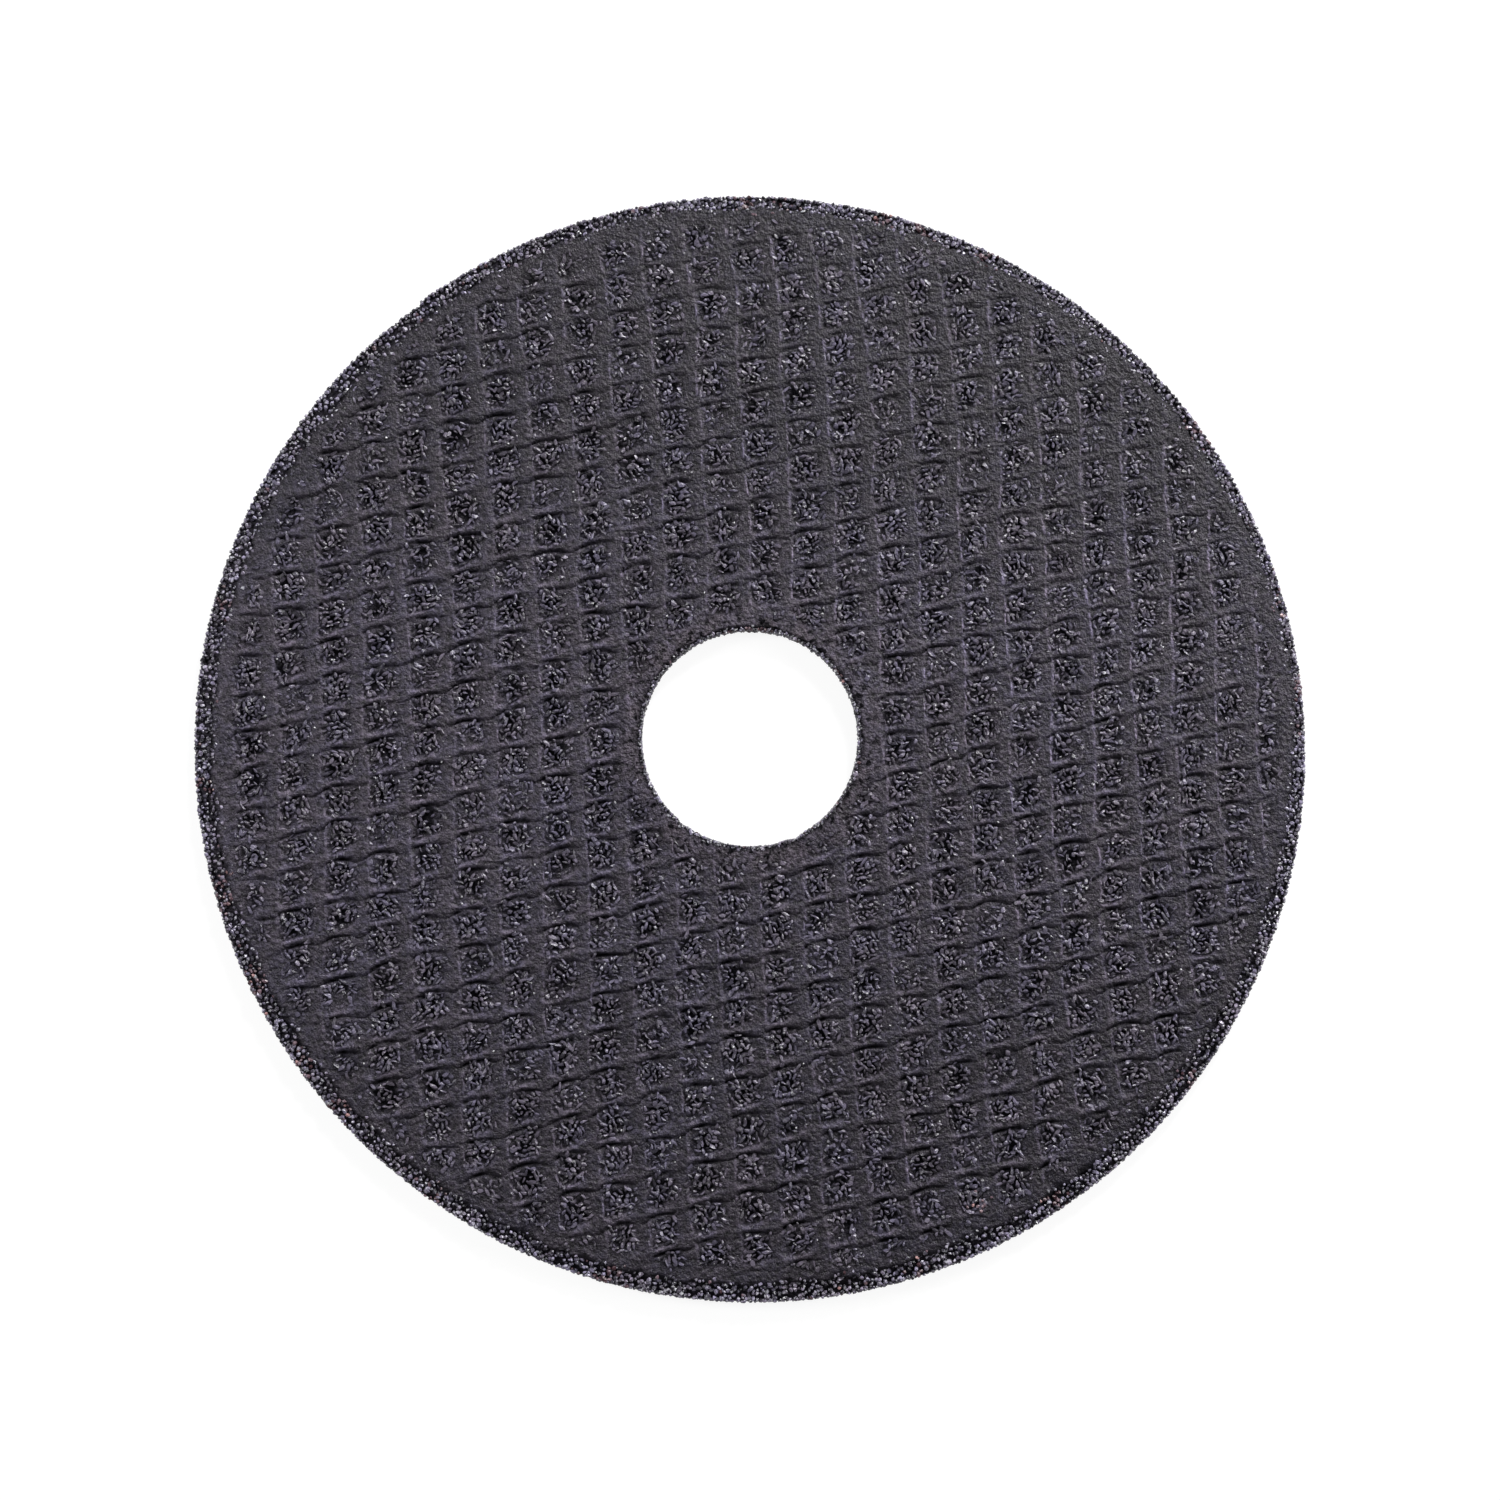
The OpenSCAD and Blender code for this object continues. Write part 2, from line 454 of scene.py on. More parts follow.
def mesh_object(name, points, triangles, material, shade_smooth=True, **values):
    """A mesh piece on the wheel, with named values at its points for the material to read."""
    mesh = bpy.data.meshes.new(name)
    mesh.vertices.add(len(points))
    mesh.vertices.foreach_set("co", (np.asarray(points) * MM).astype(np.float32).ravel())
    mesh.loops.add(3 * len(triangles))
    mesh.loops.foreach_set("vertex_index", np.asarray(triangles, np.int32).ravel())
    mesh.polygons.add(len(triangles))
    mesh.polygons.foreach_set("loop_start", np.arange(0, 3 * len(triangles), 3, dtype=np.int32))
    mesh.polygons.foreach_set("use_smooth", np.full(len(triangles), shade_smooth))
    for key, value in values.items():
        layer = mesh.attributes.new(key, "FLOAT", "POINT")
        layer.data.foreach_set("value", np.asarray(value, np.float32))
    mesh.update(calc_edges=True)
    mesh.validate()
    mesh.materials.append(material)
    piece = new_object(name, mesh)
    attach(piece, "root")
    return piece


def bake_map(piece, places):
    """The map for baked textures, from a place in the unit square for each corner of each triangle."""
    layer = piece.data.uv_layers.new(name="OFBake")
    layer.data.foreach_set("uv", np.asarray(places, np.float32).ravel())


# Where the two faces lie in the body's bake map, and map units to a millimetre
MAP_REACH = WHEEL_R + 8
FRONT_MAP, FRONT_SCALE = np.array((0.335, 0.335)), 0.33 / MAP_REACH
BACK_MAP, BACK_SCALE = np.array((0.83, 0.83)), 0.16 / MAP_REACH
# Width of the bore's wall in the map, in millimetres
BORE_IN_MAP = 1.5


def unrolled_strip(first, second, count):
    """Places in the plane for the corners of strip()'s triangles, its rings laid flat at two radii."""
    places = np.vstack([ring(first, 0, count), ring(second, 0, count)])[:, :2]
    return places[strip(0, count, count)]


def body_map(front, back, walls):
    """Bake map of the body: the front with the rim round it and the bore inside it, and a smaller back."""
    flat = [unrolled_strip(MESH_R + 1 + k, MESH_R + k, EDGE_POINTS) for k in range(walls + 1)]
    flat.append(unrolled_strip(BORE_BASE, BORE_BASE - BORE_IN_MAP, BORE_POINTS))
    return np.vstack([FRONT_MAP + FRONT_SCALE * front, BACK_MAP + BACK_SCALE * back]
                     + [FRONT_MAP + FRONT_SCALE * places for places in flat])


# The rim under its grains: depth of its ground, steps in and down, and distances from rim and mesh
GROUND_LOW = RIM_DROP + 0.2
SHOULDER_IN, SHOULDER_DOWN, WALL_DOWN = 0.1, 0.05, 0.2
BODY_INSET, FOOT_OUT = 0.02, 0.05
# Worn resin round the bore
WORN_FROM, WORN_OVER = 1.0, 3.0


def rim_rings():
    """Rings of the bare band and the rim, from the mesh's upper edge round to its lower one."""
    outer = WHEEL_R - BODY_INSET + outline(turns(EDGE_POINTS))
    inner = mesh_edge(turns(EDGE_POINTS)) + FOOT_OUT
    profile = (
        (inner, GROUND_LOW, (MESH_X, MESH_Y)),
        (outer - SHOULDER_IN, GROUND_LOW + SHOULDER_DOWN, (0.0, 0.0)),
        (outer, GROUND_LOW + WALL_DOWN, (0.0, 0.0)),
    )
    upper = [ring(radius, WHEEL_T - down, EDGE_POINTS, centre) for radius, down, centre in profile]
    lower = [ring(radius, down, EDGE_POINTS, centre) for radius, down, centre in reversed(profile)]
    return upper + lower


def wheel_body(material):
    """The disc in one closed mesh: both meshed faces, the bare band, the rim and the bore's wall."""
    points, triangles, masks = face(*FACE_STEPS)
    back, back_triangles, back_masks = face(*BACK_STEPS)
    back_triangles = back_triangles[:, ::-1]
    top = points * (1, 1, -1) + (0, 0, WHEEL_T)
    walls = rim_rings()
    start, first_wall = len(top), len(top) + len(back)
    steps = [0] + [first_wall + k * EDGE_POINTS for k in range(len(walls))] + [start]
    strips = [strip(b, a, EDGE_POINTS) for a, b in zip(steps, steps[1:])]
    strips.append(strip(EDGE_POINTS, start + EDGE_POINTS, BORE_POINTS))
    all_points = np.vstack([top, back] + walls)
    all_triangles = np.vstack([triangles, back_triangles + start] + strips)
    # Painted shade on the rim's walls, under its grains
    wall_masks = np.tile((0.0, 0.0, RIM_GROUND_SHADE, 0.0), (len(walls) * EDGE_POINTS, 1))
    # The third mask, kept as the depth value, is painted shade; the fourth is painted highlight
    warp, weft, depth, light = np.vstack([masks, back_masks, wall_masks]).T
    x, y = all_points[:, 0], all_points[:, 1]
    worn = 1 - smooth((np.hypot(x, y) - BORE_R - WORN_FROM) / WORN_OVER)
    piece = mesh_object("wheel_body", all_points, all_triangles, material, warp=warp, weft=weft,
                        depth=depth, light=light, worn=worn, shade=painted_resin_shade(x, y))
    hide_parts("wheel")
    bake_map(piece, body_map(points[triangles][..., :2], back[back_triangles][..., :2], len(walls)))


# Grains


class Lump:
    """A closed shape that grains are made from. deep gives each corner's painted shade, more the lower it
    lies in the ground.
    """

    def __init__(self, points, faces, deep):
        self.points, self.faces, self.deep = np.array(points), np.array(faces), np.array(deep)


# Corners round a dome, and its two rounds: turn in steps, angle from the top, and painted shade of their
# corners
DOME_SIDES = 6
DOME_ROUNDS = ((0.0, 44, 0.12), (0.5, 86, 0.9))
DOME_BOTTOM = -0.8


def dome():
    """A low rounded lump: a top, two rounds of corners, and a point below."""
    points, deep = [(0, 0, 1.0)], [0.0]
    for turn_by, polar, sunk in DOME_ROUNDS:
        out, up = math.sin(math.radians(polar)), math.cos(math.radians(polar))
        for k in range(DOME_SIDES):
            turn = 2 * math.pi * (k + turn_by) / DOME_SIDES
            points.append((out * math.cos(turn), out * math.sin(turn), up))
            deep.append(sunk)
    points.append((0, 0, DOME_BOTTOM))
    deep.append(1.0)
    faces = []
    for k in range(DOME_SIDES):
        upper, upper_next = 1 + k, 1 + (k + 1) % DOME_SIDES
        lower, lower_next = upper + DOME_SIDES, upper_next + DOME_SIDES
        faces += [(0, upper, upper_next), (upper, lower, upper_next)]
        faces += [(upper_next, lower, lower_next), (lower, 1 + 2 * DOME_SIDES, lower_next)]
    return Lump(points, faces, deep)


def crystal():
    """A twenty-sided lump."""
    golden = (1 + math.sqrt(5)) / 2
    signs = [(s, t) for s in (-1, 1) for t in (-1, 1)]
    points = [(s, golden * t, 0) for s, t in signs] + [(0, s, golden * t) for s, t in signs]
    points = np.array(points + [(golden * t, 0, s) for s, t in signs]) / math.hypot(1, golden)
    gap = np.linalg.norm(points[:, None] - points[None], axis=2)
    near = (gap > 0.1) & (gap < 1.2)
    faces = []
    for a, b, c in itertools.combinations(range(len(points)), 3):
        if near[a, b] and near[b, c] and near[a, c]:
            outward = np.linalg.det(points[[a, b, c]]) > 0
            faces.append((a, b, c) if outward else (a, c, b))
    return Lump(points, faces, np.zeros(len(points)))


DOME, CRYSTAL = dome(), crystal()
# Reach of a lump in its square of the bake map
BAKE_FILL = 0.45


def bake_grid(piece, lump, count):
    """A bake map with a small square for each lump, on which it is unrolled from its top."""
    side = math.ceil(math.sqrt(count))
    x, y, z = (lump.points / np.linalg.norm(lump.points, axis=1)[:, None]).T
    out = BAKE_FILL * np.arccos(np.clip(z, -1, 1)) / np.pi / np.maximum(np.hypot(x, y), 1e-6)
    unrolled = np.c_[0.5 + x * out, 0.5 + y * out]
    squares = np.c_[np.arange(count) % side, np.arange(count) // side]
    corners = unrolled[lump.faces.ravel()]
    bake_map(piece, (squares[:, None] + corners[None]) / side)


def spin(corners, turn):
    """Corners of each lump turned about Z."""
    x, y = corners[..., 0].copy(), corners[..., 1].copy()
    cos, sin = np.cos(turn)[:, None], np.sin(turn)[:, None]
    corners[..., 0], corners[..., 1] = x * cos - y * sin, x * sin + y * cos
    return corners


def placed(lump, corners, centres):
    """Points and triangles of lumps whose corners are carried to their centres."""
    corners = corners + centres[:, None, :]
    triangles = lump.faces[None] + len(lump.points) * np.arange(len(centres))[:, None, None]
    return corners.reshape(-1, 3), triangles.reshape(-1, 3)


def uneven_corners(lump, count, roughness):
    """Corners of lumps that each have their own dents."""
    return lump.points[None] * (1 + roughness * draw(-1, 1, (count, len(lump.points), 1)))


def domes(centres, radii, turn, roughness, slope):
    """Points and triangles of one dome at each centre, stretched, turned and tilted."""
    count = len(centres)
    corners = uneven_corners(DOME, count, roughness)
    corners = spin(corners, draw(0, 2 * np.pi, count)) * radii[:, None, :]
    corners = spin(corners, turn)
    tilt = draw(-slope, slope, (count, 1, 2))
    corners[..., 2] += (corners[..., :2] * tilt).sum(2)
    return placed(DOME, corners, centres)


def random_turns(count):
    """Rotation matrices spread evenly over all turns."""
    spread = rng.normal(size=(4, count))
    w, x, y, z = spread / np.linalg.norm(spread, axis=0)
    return np.stack([
        np.stack([1 - 2 * (y * y + z * z), 2 * (x * y - z * w), 2 * (x * z + y * w)], -1),
        np.stack([2 * (x * y + z * w), 1 - 2 * (x * x + z * z), 2 * (y * z - x * w)], -1),
        np.stack([2 * (x * z - y * w), 2 * (y * z + x * w), 1 - 2 * (x * x + y * y)], -1),
    ], 1)


def crystals(centres, radii, roughness):
    """Points and triangles of one angular grain at each centre."""
    count = len(centres)
    corners = uneven_corners(CRYSTAL, count, roughness) * radii[:, None, :]
    return placed(CRYSTAL, np.einsum("nij,nkj->nki", random_turns(count), corners), centres)


# Grain in the cells: spacing and size on the two faces
FRONT_SPACING, FRONT_SIZE = 0.5, 0.29
BACK_SPACING, BACK_SIZE = 1.0, 0.55
# Room between grains and a yarn, less than nothing where they creep over its edge
CLEAR_RIGHT, CLEAR_LEFT, CLEAR_UNDER, CLEAR_OVER = -0.04, -0.3, 0.25, -0.02
# Share of the grains that filling covers, and how soon they come in where the mesh fades in
FILL_COVERS, COMING_IN = 0.25, 1.5
# Lumps: height, depth, lean across a cell, and shares of height and depth where pressed little
LUMP_TALL, LUMP_DEPTH, LUMP_LEAN, TALL_LOOSE, DEEP_LOOSE = 0.34, 0.28, 0.4, 0.7, 0.65
# Highest that a grain stands above the upper face
STAND_OUT = 0.04


def cell_spots(spacing):
    """Places for grains in all cells, on a shaken triangular grid, as columns and rows of the mesh."""
    across = np.arange(-WARP_PITCH / 2, WARP_PITCH / 2, spacing)
    up = np.arange(-WEFT_PITCH / 2, WEFT_PITCH / 2, spacing * math.sqrt(3) / 2)
    grid = np.array([(a + (k % 2) * spacing / 2, b) for k, b in enumerate(up) for a in across])
    cells = np.array([(c, r) for c in range(-COLUMNS, COLUMNS) for r in range(-ROWS, ROWS)])
    shake = draw(-0.3, 0.3, (len(cells), len(grid), 2))
    spots = np.repeat(grid[None], len(cells), 0) + shake * spacing
    spots = spots + draw(-0.5, 0.5, (len(cells), 1, 2)) * spacing
    column = cells[:, None, 0] + spots[..., 0] / WARP_PITCH
    row = cells[:, None, 1] + spots[..., 1] / WEFT_PITCH
    fullness = np.repeat(draw(0.86, 1.15, (len(cells), 1)), len(grid), 1)
    return column.ravel(), row.ravel(), fullness.ravel()


def in_open_cell(column, row, x, y):
    """True where a grain lies clear of the yarns."""
    off_warp, off_weft = from_yarn(column, WARP_PITCH), from_yarn(row, WEFT_PITCH)
    clear_warp = np.abs(off_warp) - warp_half(column, row) - np.where(off_warp > 0, CLEAR_RIGHT, CLEAR_LEFT)
    clear_weft = np.abs(off_weft) - weft_half(column, row) - np.where(off_weft < 0, CLEAR_UNDER, CLEAR_OVER)
    beside = clear_warp + CELL_RAGGED * cell_edge(x, y) > 0
    return beside & (clear_weft + CELL_RAGGED * cell_edge(y, x) > 0)


def cell_grain(name, spacing, size, top, material, keep=lambda x, y: True):
    """Resin-coated grains in the cells of one face, the upper one if top. Gives their highest points."""
    column, row, fullness = cell_spots(spacing)
    x, y = mesh_xy(column, row)
    shown = meshed(x, y)
    chance = smooth(shown * COMING_IN) * fullness * (1 - FILL_COVERS * filled(x, y))
    chosen = in_open_cell(column, row, x, y) & (draw(0, 1, x.shape) < chance) & keep(x, y)
    x, y, shown, column = x[chosen], y[chosen], shown[chosen], column[chosen]
    count = len(x)
    radius = size * draw(0.6, 1.35, count)
    stretch = draw(1.1, 1.75, count)
    firm = pressed(x, y)
    tall = LUMP_TALL * (TALL_LOOSE + (1 - TALL_LOOSE) * firm) * draw(0.6, 1.2, count)
    radii = np.c_[radius * stretch, radius / stretch, tall]
    lean = 1 - LUMP_LEAN * (column - np.round(column))
    deep = LUMP_DEPTH * (DEEP_LOOSE + (1 - DEEP_LOOSE) * firm)
    depth = deep * lean * shown + PLAIN_LOW * (1 - shown) + draw(-0.03, 0.06, count)
    turn = draw(0, np.pi, count)
    points, triangles = domes(np.c_[x, y, -depth], radii, turn, roughness=0.34, slope=0.6)
    points[:, 2] = np.minimum(points[:, 2], STAND_OUT if top else 0.0)
    if top:
        points[:, 2] += WHEEL_T
    else:
        points[:, 2] *= -1
        triangles = triangles[:, ::-1]
    tone = np.repeat(draw(0, 1, count), len(DOME.points))
    # Each corner's painted shade, from the dome, goes in as the depth value
    piece = mesh_object(name, points, triangles, material, shade_smooth=False,
                        tone=tone, depth=np.tile(DOME.deep, count))
    bake_grid(piece, DOME, count)
    return points[::len(DOME.points)]


# How far out along outward a bare grain's painted shade reaches, in radii, and over what width it fades in
BARE_SHADE_FROM, BARE_SHADE_OVER = 0.42, 0.7
# How far the trimmed grains of the rim stand past the solid's rim
RIM_TRIM = 0.12


def bare_piece(name, centres, radii, outward, material, darkness=1.6):
    """Bare angular grains, with painted shade on the side away from outward, trimmed at the rim and the
    bore.
    A higher darkness makes more of them dark."""
    corners = len(CRYSTAL.points)
    points, triangles = crystals(centres, radii, roughness=0.25)
    above = ((points.reshape(-1, corners, 3) - centres[:, None]) * outward[:, None]).sum(2)
    above = above / radii.mean(1)[:, None]
    # Painted shade on the side of each grain away from outward
    depth = smooth((BARE_SHADE_FROM - above.ravel()) / BARE_SHADE_OVER)
    points[:, 2] = np.clip(points[:, 2], 0.0, WHEEL_T + STAND_OUT)
    turn, radius = np.arctan2(points[:, 1], points[:, 0]), np.hypot(points[:, 0], points[:, 1])
    trimmed = np.clip(radius, BORE_R + bore_outline(turn), WHEEL_R + RIM_TRIM + outline(turn))
    points[:, :2] *= (trimmed / radius)[:, None]
    tone = np.repeat(draw(0, 1, len(centres)) ** darkness, corners)
    piece = mesh_object(name, points, triangles, material, shade_smooth=False, tone=tone, depth=depth)
    # A random value for each facet, which the looks turn into painted glints and facets painted lighter or
    # darker
    glint = piece.data.attributes.new("glint", "FLOAT", "FACE")
    glint.data.foreach_set("value", draw(0, 1, len(piece.data.polygons)).astype(np.float32))
    bake_grid(piece, CRYSTAL, len(centres))


def bare_and_tinted(name, centres, radii, outward, tinted, looks, darkness):
    """Two pieces of bare grains, the plain ones and the tinted ones."""
    for part, chosen, look in zip((name + "_grain", name + "_tinted_grain"), (~tinted, tinted), looks):
        bare_piece(part, centres[chosen], radii[chosen], outward[chosen], look, darkness)


def upwards(count):
    """As many upward directions."""
    return np.tile((0.0, 0.0, 1.0), (count, 1))


# How far the points of a shaken grid stray, in steps
SHAKE = 0.45


def shaken_grid(around, down):
    """Angles and shares of a run on a shaken grid."""
    turn = (np.arange(around)[:, None] + draw(-SHAKE, SHAKE, (around, down))) * 2 * np.pi / around
    share = (np.arange(down)[None, :] + 0.5 + draw(-SHAKE, SHAKE, (around, down))) / down
    return turn.ravel(), share.ravel()


def choose_tinted(turn, arcs, spread, least, more):
    """Which grains are tinted: a share of them everywhere, and more of them near some angles."""
    off = off_angle(turn[:, None], np.asarray(arcs)[None])
    near = np.exp(-((off / spread) ** 2)).max(1)
    return draw(0, 1, len(turn)) < least + more * near


# How far the bare grain creeps over the edge of the mesh, and how unevenly over the height
RIM_OVERLAP, RIM_RAGGED, RAGGED_PACE = 0.3, 0.22, 9
# Reach of the rim's grains past the solid before trimming, and share of their size kept inside
RIM_OUT, RIM_INSIDE = 0.13, 0.88
# How deep they sit on the mesh and on the band, in sizes, and how much lower on the band
MESH_SINK, BAND_SINK, BAND_LOW = 0.55, 0.75, 0.06
# How far the side of the rim's grains kept free of painted shade turns towards the nearer face, for each
# unit outwards
RIM_SLANT = 0.8
# Tinted grains: angles where they gather, spread there, and shares of them everywhere and more there
RIM_TINTS = ((5.3, 14, 34.5, 63.6, 71, 75.5, 87, 90, 165, 185, 195, 197, 206, 216, 222, 235.5, 255, 287.5,
              304, 322), 1.1, 0.01, 0.5)
BORE_TINTS = ((92, 100, 84, 35, 318), 4, 0.02, 0.6)


def rim_path(share):
    """Distance outside the edge of the mesh, and height, along the bare band, the rim and the other band."""
    band, wall = RIM_W + RIM_OVERLAP, WHEEL_T - 2 * RIM_DROP
    run = share * (2 * band + wall)
    out = np.clip(np.minimum(run, 2 * band + wall - run), 0, band) - RIM_OVERLAP
    height = WHEEL_T - RIM_DROP - np.clip(run - band, 0, wall)
    return out, height


def rim_grain(*looks):
    """Bare angular grains on the band outside the mesh and on the rim."""
    spacing = 0.4
    length = 2 * (RIM_W + RIM_OVERLAP) + WHEEL_T - 2 * RIM_DROP
    turn, share = shaken_grid(int(2 * math.pi * WHEEL_R / spacing), int(length / spacing))
    out, height = rim_path(share)
    count = len(turn)
    on_mesh, on_band = out < 0, out < RIM_W - 1e-6
    size = draw(0.17, 0.3, count)
    edge = mesh_edge(turn) + MESH_X * np.cos(turn) + MESH_Y * np.sin(turn)
    edge = edge + RIM_RAGGED * ragged(WHEEL_R * turn, RAGGED_PACE * height)
    reach = WHEEL_R + RIM_OUT + outline(turn) - RIM_INSIDE * size + draw(-0.06, 0.02, count)
    radius = edge + np.where(on_mesh, out, (reach - edge) * out / RIM_W)
    on_band_sink = BAND_SINK * size + BAND_LOW + draw(0, 0.12, count)
    sunk = PLAIN_LOW + np.where(on_mesh, MESH_SINK * size, on_band_sink)
    upper = height > WHEEL_T / 2
    height = np.where(on_band, np.where(upper, WHEEL_T - sunk, sunk), height)
    radii = size[:, None] * draw(0.75, 1.2, (count, 3))
    # Sides of the grains kept free of painted shade: up or down on the bands, slanted on the rim
    upright = upwards(count) * np.where(upper, 1, -1)[:, None]
    slanted = (round_axis(turn, 1.0, np.zeros(count)) + RIM_SLANT * upright) / math.hypot(1, RIM_SLANT)
    outward = np.where(on_band[:, None], upright, slanted)
    tinted = choose_tinted(turn, *RIM_TINTS)
    bare_and_tinted("rim", round_axis(turn, radius, height), radii, outward, tinted, looks, darkness=1.3)


# Share of the size of the bore's grains that lies behind its edge, and their room at the two faces
BORE_INSIDE, BORE_FOOT, BORE_HEAD = 0.9, 0.2, 0.25


def bore_grain(*looks):
    """Raw grains in the bore's wall and along its upper edge."""
    spacing, lip_spacing, lip_rows = 0.36, 0.34, 2
    turn, share = shaken_grid(int(2 * math.pi * BORE_R / spacing), int(WHEEL_T / spacing))
    size = draw(0.16, 0.27, len(turn))
    radius = BORE_R + 0.02 + BORE_INSIDE * size + draw(0, 0.1, len(turn))
    wall = np.stack([turn, radius, np.clip(share * WHEEL_T, BORE_FOOT, WHEEL_T - BORE_HEAD), size])
    turn, share = shaken_grid(int(2 * math.pi * BORE_R / lip_spacing), lip_rows)
    size = draw(0.13, 0.27, len(turn))
    radius = BORE_R + BORE_INSIDE * size + share * (BORE_BASE - BORE_R - 0.1)
    lip = np.stack([turn, radius, WHEEL_T - PLAIN_LOW - size * draw(0.2, 1.1, len(turn)), size])
    turn, radius, height, size = np.hstack([wall, lip])
    centres = round_axis(turn, radius + bore_outline(turn), height)
    radii = size[:, None] * draw(0.8, 1.15, (len(turn), 3))
    inwards = round_axis(wall[0], -1.0, np.zeros(wall.shape[1]))
    outward = np.vstack([inwards, upwards(lip.shape[1])])
    tinted = choose_tinted(turn, *BORE_TINTS)
    bare_and_tinted("bore", centres, radii, outward, tinted, looks, darkness=2.6)


# Clean crystals: how many, places tried for each one on a yarn, and how much larger those at the bore are
GLINTS_ON_YARNS, GLINTS_IN_CELLS, GLINTS_ON_LIP = 220, 700, 60
GLINT_TRIES, LIP_LARGER = 40, 1.3


def face_glints(grain_tops, material):
    """Small clean crystals that stick out of the resin, on yarns, in the cells and along the bore's edge."""
    column = draw(-COLUMNS, COLUMNS, GLINT_TRIES * GLINTS_ON_YARNS)
    row = draw(-ROWS, ROWS, len(column))
    x, y = mesh_xy(column, row)
    depth, warp, weft, *_ = relief(column, row, x, y)
    radius = np.hypot(x, y)
    on_yarn = (radius > BORE_R + 0.5) & (radius < MESH_R - 1) & (warp + weft > 0.9)
    yarns = np.c_[x, y, WHEEL_T - depth][on_yarn][:GLINTS_ON_YARNS]
    cells = grain_tops[rng.choice(len(grain_tops), GLINTS_IN_CELLS, replace=False)]
    turn = draw(0, 2 * np.pi, GLINTS_ON_LIP)
    lip_at = BORE_R + bore_outline(turn) + draw(0.1, 0.35, GLINTS_ON_LIP)
    lip = round_axis(turn, lip_at, np.full(GLINTS_ON_LIP, WHEEL_T - 0.02))
    centres = np.vstack([yarns, cells, lip])
    size = 0.04 + 0.1 * draw(0, 1, len(centres)) ** 2
    size[-GLINTS_ON_LIP:] *= LIP_LARGER
    radii = size[:, None] * draw(0.7, 1.2, (len(centres), 3))
    bare_piece("face_glints", centres, radii, upwards(len(centres)), material)


# A cluster of pink grains that lie open in one cell by the rim: middle, spread and depth
PINK_X, PINK_Y, PINK_SPREAD, PINK_LOW = 23.3, -47.7, 0.5, 0.11
PINK_COUNT = 9


def pink_cluster(material):
    """A few pink grains in one cell."""
    places = rng.normal(0, PINK_SPREAD, (PINK_COUNT, 2)) + (PINK_X, PINK_Y)
    centres = np.c_[places, np.full(PINK_COUNT, WHEEL_T - PINK_LOW)]
    radii = draw(0.14, 0.26, (PINK_COUNT, 3))
    bare_piece("pink_grain", centres, radii, upwards(PINK_COUNT), material, darkness=0.3)


# Materials


